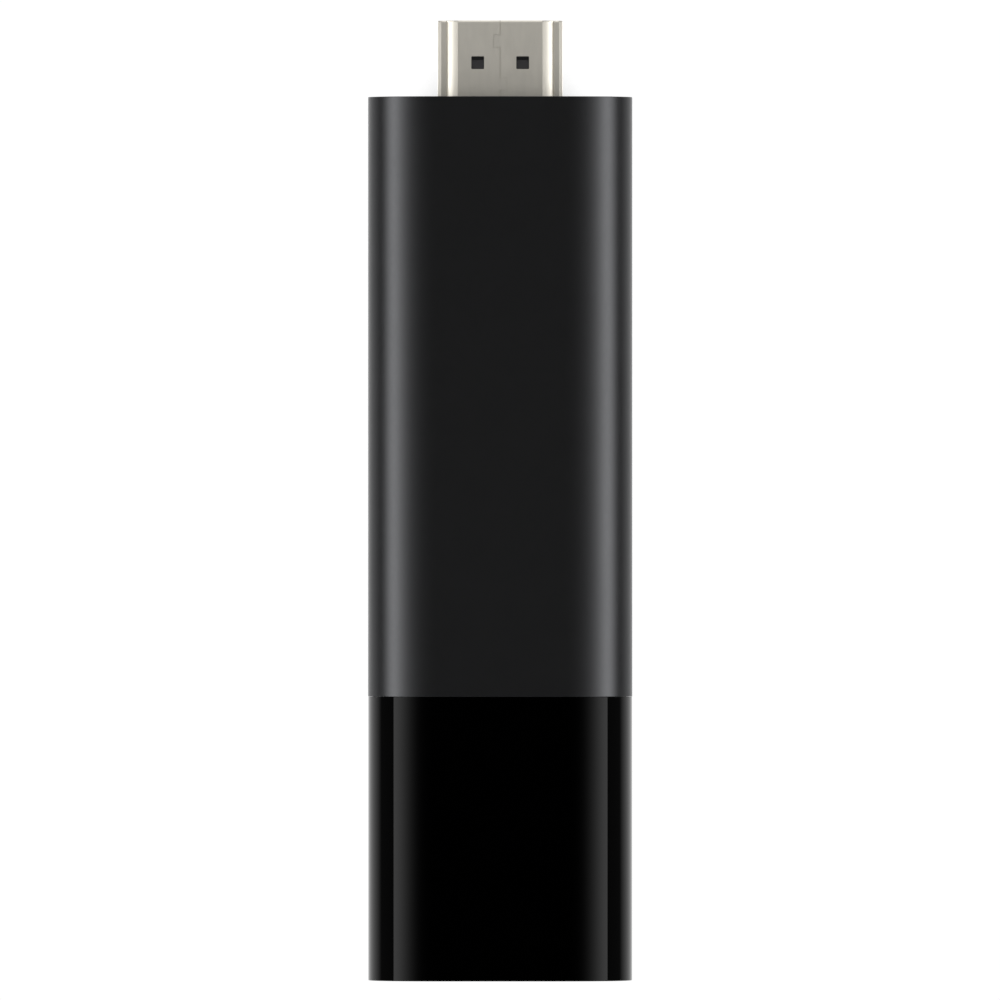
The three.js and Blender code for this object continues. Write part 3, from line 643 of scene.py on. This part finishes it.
def seam_lines():
    """(line, gap) where the tube's rolled edges meet: straight runs between two locking tabs."""
    lines = []
    run_start = TIP_Y + BEYOND
    for from_tip, side in TABS:
        x = side * TAB_REACH
        y = TIP_Y - from_tip
        far_y = y - TAB_LENGTH
        tab = [(0, y), (x, y + TAB_FLARE), (x, far_y - TAB_FLARE), (0, far_y)]
        lines.append(([(0, run_start), (0, y)], SEAM_OPEN))
        lines.append((tab, SEAM_TIGHT))
        run_start = far_y
    lines.append(([(0, run_start), (0, PLUG_REAR_Y - BEYOND)], SEAM_OPEN))
    return lines


def latch_window(x):
    """A cutter for the pair of windows at x, one above the other."""
    half = WINDOW_HALF
    corners = [(x - half, WINDOW_Y - half), (x + half, WINDOW_Y - half)]
    corners += [(x + half, WINDOW_Y + half), (x - half, WINDOW_Y + half)]
    outline = rounded([(*corner, WINDOW_CORNER) for corner in corners], 5)
    return prism_along_z("window", outline, PLUG_LOW.z - BEYOND, PLUG_HIGH.z + BEYOND)


def plug_leg(side):
    """A strip behind the tube, which holds the plug to the board."""
    x0, x1 = sorted((side * PLUG_HALF_WIDTH, side * (PLUG_HALF_WIDTH - PLUG_METAL)))
    z0, z1 = LEG_Z
    return block("leg", (x0, PLUG_LOW.y, z0), (x1, PLUG_REAR_Y + LEG_OVERLAP, z1))


def bore_outline(inset):
    return plug_outline(PLUG_METAL + inset)


def plug_tube():
    shape = rounded_prism(
        "plug_tube", plug_outline, PLUG_REAR_Y, TIP_Y, REAR_ROUNDING, TIP_ROUNDING, TIP_STRETCH
    )
    bore = flared_cutter(
        "bore", bore_outline, PLUG_REAR_Y, TIP_Y, REAR_ROUNDING, MOUTH_ROUNDING
    )
    z0, z1 = PLUG_HIGH.z - SEAM_DEPTH, PLUG_HIGH.z + BEYOND
    seam = [prism_along_z("seam", strip(line, gap), z0, z1) for line, gap in seam_lines()]
    cut(shape, bore, *seam, latch_window(-WINDOW_X), latch_window(WINDOW_X))
    return joined(shape, plug_leg(-1), plug_leg(1))


def spring_slot(x, level):
    """The slot in the block at a latch window, which the socket's spring drops into."""
    surface = PLUG_HALF_HEIGHT - PLUG_METAL
    z0, z1 = sorted((level * (surface - SLOT_DEPTH), level * (surface + BEYOND)))
    y0, y1 = SLOT_Y
    return block("slot", (x - SLOT_HALF, y0, z0), (x + SLOT_HALF, y1, z1))


def plug_block():
    """The plastic inside the plug: the frame's block, fitted to the tube, with spring slots."""
    mesh = frame["nodes"]["plug_insulator"].data.copy()
    shape = bmesh.new()
    shape.from_mesh(mesh)
    bmesh.ops.remove_doubles(shape, verts=shape.verts, dist=MERGE_WITHIN)
    shape.to_mesh(mesh)
    shape.free()
    block_of_plastic = new_object("plug_block", mesh)
    trimmed(block_of_plastic, prism("bore", bore_outline(BLOCK_ROOM), PLUG_REAR_Y - BEYOND, TIP_Y))
    slots = [spring_slot(x, level) for x in (-WINDOW_X, WINDOW_X) for level in (-1, 1)]
    return cut(block_of_plastic, *slots)


def foam_ring():
    """The foam round the plug, behind the sleeve's end wall."""
    low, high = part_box("plug_gasket")
    half_height = high.z - MID_Z
    corners = [(high.x, -half_height, FOAM_CORNER), (high.x, half_height, FOAM_CORNER)]
    shape = prism("foam_ring", rounded(mirrored(corners)), low.y, high.y)
    hole = plug_outline(-FOAM_ROOM)
    return cut(shape, prism("hole", hole, low.y - BEYOND, high.y + BEYOND))


# ---------------------------------------------------------------- rear face

PORT_HALF_WIDTH = 3.75 * MM
PORT_HALF_HEIGHT = 1.25 * MM
PORT_METAL = 0.3 * MM
PORT_CORNER = 0.4 * MM
PORT_BEVEL = (1 * MM, 0.9 * MM)  # across and up
PORT_ROUNDING = 0.1 * MM
PORT_MOUTH = 0.12 * MM
PORT_REAR_ROUNDING = 0.03 * MM
EAR_Y = (PORT_LOW.y + 3 * MM, PORT_LOW.y + 4.8 * MM)
EAR_Z = 0.52 * MM  # the underside of the ears that rest on the board
EAR_OVERLAP = 0.1 * MM
OPENING_ROOM = 0.35 * MM
OPENING_CORNER = 0.7 * MM
OPENING_FLARE = 0.15 * MM

BUTTON_LOW, BUTTON_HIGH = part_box("reset_button")
BUTTON_X = (BUTTON_LOW.x + BUTTON_HIGH.x) / 2
BUTTON_R = 1.5 * MM
BUTTON_FLARE = 0.12 * MM
DISH_DEPTH = 0.05 * MM
DISH_R = 1.3  # where it would meet the face, in millimetres
DISH_RADII = (0.1, 0.4, 0.7, 1.0, 1.2)  # of its rings, in millimetres
FLANGE_DEPTH = 0.6 * MM
PIN_EDGE = 0.15 * MM

LIGHT_LOW, LIGHT_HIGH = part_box("light_pipe")
LIGHT_X = (LIGHT_LOW.x + LIGHT_HIGH.x) / 2
LIGHT_R = 0.85 * MM
LIGHT_ROOM = 0.1 * MM
LIGHT_FLARE = 0.08 * MM
DOME_HEIGHT = 0.1 * MM
DOME_R = 0.7  # its foot, in millimetres
DOME_RADII = (0.05, 0.2, 0.35, 0.5, 0.62)  # of its rings, in millimetres
INTAKE_Y = REAR_Y + END_WALL + 0.05 * MM
INTAKE_OVERLAP = 0.3 * MM


def port_outline(inset=0.0):
    across, up = PORT_BEVEL
    corners = mirrored(
        [
            (PORT_HALF_WIDTH - across, -PORT_HALF_HEIGHT, PORT_CORNER),
            (PORT_HALF_WIDTH, up - PORT_HALF_HEIGHT, PORT_CORNER),
            (PORT_HALF_WIDTH, PORT_HALF_HEIGHT, PORT_CORNER),
        ]
    )
    return rounded(inset_corners(corners, inset))


def port_bore(inset):
    return port_outline(PORT_METAL + inset)


def port_opening(inset):
    x = PORT_HALF_WIDTH + OPENING_ROOM
    z = PORT_HALF_HEIGHT + OPENING_ROOM
    corners = mirrored([(x, -z, OPENING_CORNER), (x, z, OPENING_CORNER)])
    return rounded(inset_corners(corners, inset))


def button_hole(inset):
    return circle(BUTTON_R + FIT - inset, BUTTON_X)


def light_hole(inset):
    return circle(LIGHT_R + LIGHT_ROOM - inset, LIGHT_X)


def port_tube():
    y0, y1 = PORT_LOW.y, PORT_HIGH.y
    shape = rounded_prism("port_tube", port_outline, y0, y1, PORT_ROUNDING, PORT_REAR_ROUNDING)
    cut(shape, flared_cutter("bore", port_bore, y0, y1, PORT_MOUTH, PORT_REAR_ROUNDING))
    ear_y0, ear_y1 = EAR_Y
    for side in (-1, 1):
        x0, x1 = sorted((side * (PORT_HALF_WIDTH - EAR_OVERLAP), side * PORT_HIGH.x))
        joined(shape, block("ear", (x0, ear_y0, EAR_Z), (x1, ear_y1, EAR_Z + PORT_METAL)))
    return shape


def button_cap():
    """A round pin with a shallow dish in its face and a flange behind the wall."""
    face = BUTTON_LOW.y
    back = BUTTON_HIGH.y
    step = back - FLANGE_DEPTH
    flange = BUTTON_HIGH.x - BUTTON_X
    dish = [(face + DISH_DEPTH * (1 - (r / DISH_R) ** 2), r * MM) for r in DISH_RADII]
    rim = [(face + along, BUTTON_R - inset) for along, inset in edge_arc(PIN_EDGE)]
    behind = [(step, BUTTON_R), (step, flange), (back, flange)]
    return turned("button_cap", dish + rim + behind, BUTTON_X)


def light_window():
    """A clear pin with a domed face, on the block that takes the light in."""
    face = LIGHT_LOW.y
    dome = [(face + DOME_HEIGHT * (r / DOME_R) ** 2, r * MM) for r in DOME_RADII]
    rim = [(face + DOME_HEIGHT + along, LIGHT_R - inset) for along, inset in edge_arc(PIN_EDGE)]
    shape = turned("light_window", dome + rim + [(INTAKE_Y + INTAKE_OVERLAP, LIGHT_R)], LIGHT_X)
    low = (LIGHT_LOW.x, INTAKE_Y, LIGHT_LOW.z - MID_Z)
    high = (LIGHT_HIGH.x, LIGHT_HIGH.y, LIGHT_HIGH.z - MID_Z)
    return joined(shape, block("intake", low, high))


# ---------------------------------------------------------------- everything in place

FINISHES = all_finishes()


def build_pieces():
    """The pieces made here, as {CAD node that each stands for: piece}."""
    made = {
        "sleeve_housing": (sleeve(), PLAYER, "sleeve_plastic"),
        "end_cap": (cap(), PLAYER, "cap_plastic"),
        "plug_shell": (plug_tube(), PLAYER, "plated_steel"),
        "plug_insulator": (plug_block(), PLAYER, "connector_plastic"),
        "plug_gasket": (foam_ring(), PLAYER, "gasket_foam"),
        "port_shell": (port_tube(), PLAYER, "plated_steel"),
        "light_pipe": (light_window(), PLAYER, "clear_plastic"),
        "reset_button": (button_cap(), BUTTON, "cap_plastic"),
    }
    for node, (shape, body, slot) in made.items():
        piece(shape, body, slot, FINISHES[slot], node)
    return {node: shape for node, (shape, _, _) in made.items()}


def finish_inside(pieces):
    """Gives each CAD node that stays its material."""
    for part in frame["record"]["subparts"]:
        if part["node"] in pieces:
            continue
        node = frame["nodes"][part["node"]]
        node.data.materials.clear()
        node.data.materials.append(FINISHES[part["material_slot"]])


pieces = build_pieces()
finish_inside(pieces)


# ---------------------------------------------------------------- table, light tents and camera

# The walls of a tent glow by degrees from overhead, the same on either side.
SLEEVE_BOX = 81  # where the sleeve's soft box is brightest
SLEEVE_BOX_END = 100
SLEEVE_BOX_GLOW = 1.42
SLEEVE_BOX_SPREAD = 11.5
SLEEVE_OVERHEAD = 0.036
SLEEVE_BELOW = 113  # where the light from the table starts
SLEEVE_BELOW_GLOW = 0.6
SLEEVE_BELOW_POWER = 0.55
SLEEVE_FOOT_GLOW = 1.0  # straight below, where the stick meets the table
SLEEVE_FOOT_POWER = 4

CAP_BOX_EDGE = (78.3, 78.9)  # the cap's soft box ends in a sharp edge between these
CAP_BOX_SPREAD = 26.3
CAP_ROOM_GLOW = 0.04
CAP_BELOW = 109
CAP_BELOW_GLOW = 1.25
CAP_BELOW_POWER = 0.7

PLUG_STOPS = {0: 0.4, 32: 0.4, 50: 0.62, 80: 0.64, 102: 0.66, 114: 3.6, 140: 3.6, 180: 2.0}


def share_below(turn, start):
    """0 at the turn where the light from below starts, 1 straight below."""
    return max(0, (turn - start) / (180 - start))


def sleeve_glow(turn):
    """A soft box low on either side with a long soft upper end, and the light from below."""
    peak = SLEEVE_OVERHEAD + SLEEVE_BOX_GLOW
    if turn <= SLEEVE_BOX:
        away = (SLEEVE_BOX - turn) / SLEEVE_BOX_SPREAD
        return SLEEVE_OVERHEAD + SLEEVE_BOX_GLOW / math.cosh(away)
    box = peak * max(0, (SLEEVE_BOX_END - turn) / (SLEEVE_BOX_END - SLEEVE_BOX))
    below = share_below(turn, SLEEVE_BELOW)
    foot = SLEEVE_FOOT_GLOW * below**SLEEVE_FOOT_POWER
    return box + SLEEVE_BELOW_GLOW * below**SLEEVE_BELOW_POWER + foot


def cap_glow(turn):
    """A soft box that fades upwards as a bell curve, and the light from below."""
    edge, past_edge = CAP_BOX_EDGE
    if turn < past_edge:
        return math.exp(-(((edge - turn) / CAP_BOX_SPREAD) ** 2))
    below = CAP_BELOW_GLOW * share_below(turn, CAP_BELOW) ** CAP_BELOW_POWER
    return max(CAP_ROOM_GLOW, below)


def plug_glow(turn):
    """Bright from below, where the plug's slopes look, and even above."""
    return between(PLUG_STOPS, turn)


def between(table, key):
    """The table's value at a key that may lie between two of its own."""
    keys = sorted(table)
    for low, high in zip(keys, keys[1:]):
        if key <= high:
            return table[low] + (table[high] - table[low]) * (key - low) / (high - low)
    return table[keys[-1]]


# Each tent's radius and half length in metres, the glow of its walls and the turns at which that
# has a corner, the share of it that is left at its ends, and the brightness of its rear and front
# end, each in the middle and at the sides. The radii differ, so that no two tents' walls coincide.
SLEEVE_TENT = {
    "radius": 1.0,
    "reach": 1.5,
    "walls": sleeve_glow,
    "corners": (SLEEVE_BOX,),
    "fade": 1,
    "ends": ((0.3, 0.3), (0.25, 0.25)),
}
PLUG_TENT = {
    "radius": 1.02,
    "reach": 0.408,
    "walls": plug_glow,
    "corners": tuple(PLUG_STOPS),
    "fade": 1,
    "ends": ((1.05, 1.05), (1.3, 0.32)),
}
CAP_TENT = {
    "radius": 1.04,
    "reach": 1.56,
    "walls": cap_glow,
    "corners": CAP_BOX_EDGE,
    "fade": 0.1,
    "ends": ((0.5, 0.5), (0.09, 0.09)),
}
TURN_STEP = 3
FULL_SHARE = 0.3  # of a tent's half length, where the walls glow fully
MIDDLE_REACH = 0.45  # either side of its middle, an end's glow changes to that of its sides
TENT_ROLL = math.radians(0.8)  # the light comes a little more from the right

TABLE_REACH = 8  # metres
TABLE_GLOW = 1.02
SHADE_GLOW = 0.2
SHADE_STARTS = 0.45  # the share of open sky below which the table falls into shade
SHADE_REACH = 30 * MM

LENS = 1100
SENSOR = 36
CLIP = (0.1, 10)
FRAME_WIDTH = 111.29 * MM  # what the camera takes in at the stick's mid-plane
CAMERA_OVER = (-0.02 * MM, 0.06 * MM)


def empty_tree(owner):
    """Gives a material or a world a node tree with nothing in it."""
    owner.use_nodes = True
    owner.node_tree.nodes.clear()
    return owner.node_tree


def glowing_material():
    """Shines as the mesh's glow attribute says, and lets the light of what is behind through."""
    material = bpy.data.materials.new("soft_light")
    tree = empty_tree(material)
    glow = tree.nodes.new("ShaderNodeAttribute")
    glow.attribute_name = "glow"
    emission = tree.nodes.new("ShaderNodeEmission")
    clear = tree.nodes.new("ShaderNodeBsdfTransparent")
    both = tree.nodes.new("ShaderNodeAddShader")
    output = tree.nodes.new("ShaderNodeOutputMaterial")
    tree.links.new(glow.outputs["Fac"], emission.inputs["Strength"])
    tree.links.new(emission.outputs[0], both.inputs[0])
    tree.links.new(clear.outputs[0], both.inputs[1])
    tree.links.new(both.outputs[0], output.inputs["Surface"])
    return material


def light_tent(name, design, material, lit):
    """A tunnel of soft light along Y, closed at each end, for some of the pieces only."""
    radius, reach, fade, walls = (design[key] for key in ("radius", "reach", "fade", "walls"))
    corners = design["corners"]
    turns = sorted({*corners, *(-a for a in corners), *range(-180, 181, TURN_STEP)})
    full = FULL_SHARE * reach
    points, levels = [], []
    for y, share in ((-reach, fade), (-full, 1), (full, 1), (reach, fade)):
        for turn in turns:
            a = math.radians(turn)
            points.append((radius * math.sin(a), y, MID_Z + radius * math.cos(a)))
            levels.append(share * walls(abs(turn)))
    count = len(turns)
    firsts = [start + k for start in range(0, 3 * count, count) for k in range(count - 1)]
    faces = [(i, i + 1, i + count + 1, i + count) for i in firsts]
    for y, (middle, sides) in zip((-reach, reach), design["ends"]):
        start = len(points)
        for x in (-radius, -MIDDLE_REACH, 0, MIDDLE_REACH, radius):
            points += [(x, y, -radius), (x, y, radius)]
            levels += [sides if x else middle] * 2
        faces += [(i, i + 1, i + 3, i + 2) for i in range(start, len(points) - 2, 2)]
    mesh = bpy.data.meshes.new(name)
    mesh.from_pydata(points, [], faces)
    mesh.attributes.new("glow", "FLOAT", "POINT").data.foreach_set("value", levels)
    mesh.materials.append(material)
    tent = new_object(name, mesh)
    tent.rotation_euler.y = TENT_ROLL
    tent.visible_camera = False
    tent.visible_shadow = False
    chosen = bpy.data.collections.new(name + "_lit")
    for thing in lit:
        chosen.objects.link(thing)
    tent.light_linking.receiver_collection = chosen


def light_everything():
    """A tent for the sleeve, one for the plug, and one for all the rest."""
    plug_names = [name for name in frame["nodes"] if name.startswith("plug_")]
    shown = {name: pieces.get(name, node) for name, node in frame["nodes"].items()}
    sleeve_only = [shown.pop("sleeve_housing")]
    plug_parts = [shown.pop(name) for name in plug_names]
    material = glowing_material()
    light_tent("sleeve_tent", SLEEVE_TENT, material, sleeve_only)
    light_tent("plug_tent", PLUG_TENT, material, plug_parts)
    light_tent("cap_tent", CAP_TENT, material, list(shown.values()))


def table():
    """The pale table: it glows as over a light box, and only what the stick covers is in shade."""
    material = bpy.data.materials.new("pale_table")
    tree = empty_tree(material)
    openness = tree.nodes.new("ShaderNodeAmbientOcclusion")
    openness.inputs["Distance"].default_value = SHADE_REACH
    shade = tree.nodes.new("ShaderNodeMapRange")
    shade.interpolation_type = "SMOOTHSTEP"
    shade.inputs["From Max"].default_value = SHADE_STARTS
    shade.inputs["To Min"].default_value = SHADE_GLOW
    shade.inputs["To Max"].default_value = TABLE_GLOW
    emission = tree.nodes.new("ShaderNodeEmission")
    output = tree.nodes.new("ShaderNodeOutputMaterial")
    tree.links.new(openness.outputs["AO"], shade.inputs["Value"])
    tree.links.new(shade.outputs["Result"], emission.inputs["Strength"])
    tree.links.new(emission.outputs[0], output.inputs["Surface"])
    mesh = bpy.data.meshes.new("table")
    r = TABLE_REACH
    mesh.from_pydata([(-r, -r, 0), (r, -r, 0), (r, r, 0), (-r, r, 0)], [], [(0, 1, 2, 3)])
    mesh.materials.append(material)
    top = new_object("table", mesh)
    for kind in ("diffuse", "glossy", "transmission", "shadow"):
        setattr(top, "visible_" + kind, False)


def dark_room():
    """Pale to the camera beyond the table's edge, and dark in what shines."""
    world = bpy.data.worlds.new("room")
    bpy.context.scene.world = world
    tree = empty_tree(world)
    path = tree.nodes.new("ShaderNodeLightPath")
    background = tree.nodes.new("ShaderNodeBackground")
    background.inputs["Color"].default_value = (1, 1, 1, 1)
    output = tree.nodes.new("ShaderNodeOutputWorld")
    tree.links.new(path.outputs["Is Camera Ray"], background.inputs["Strength"])
    tree.links.new(background.outputs[0], output.inputs["Surface"])


def camera():
    """Straight above the stick, with its plug towards the top of the picture."""
    data = bpy.data.cameras.new("camera")
    data.lens = LENS
    data.sensor_width = SENSOR
    data.clip_start, data.clip_end = CLIP
    eye = new_object("camera", data)
    eye.location = (*CAMERA_OVER, MID_Z + FRAME_WIDTH * LENS / SENSOR)
    bpy.context.scene.camera = eye


light_everything()
table()
dark_room()
camera()
bpy.context.scene.view_settings.view_transform = "Standard"
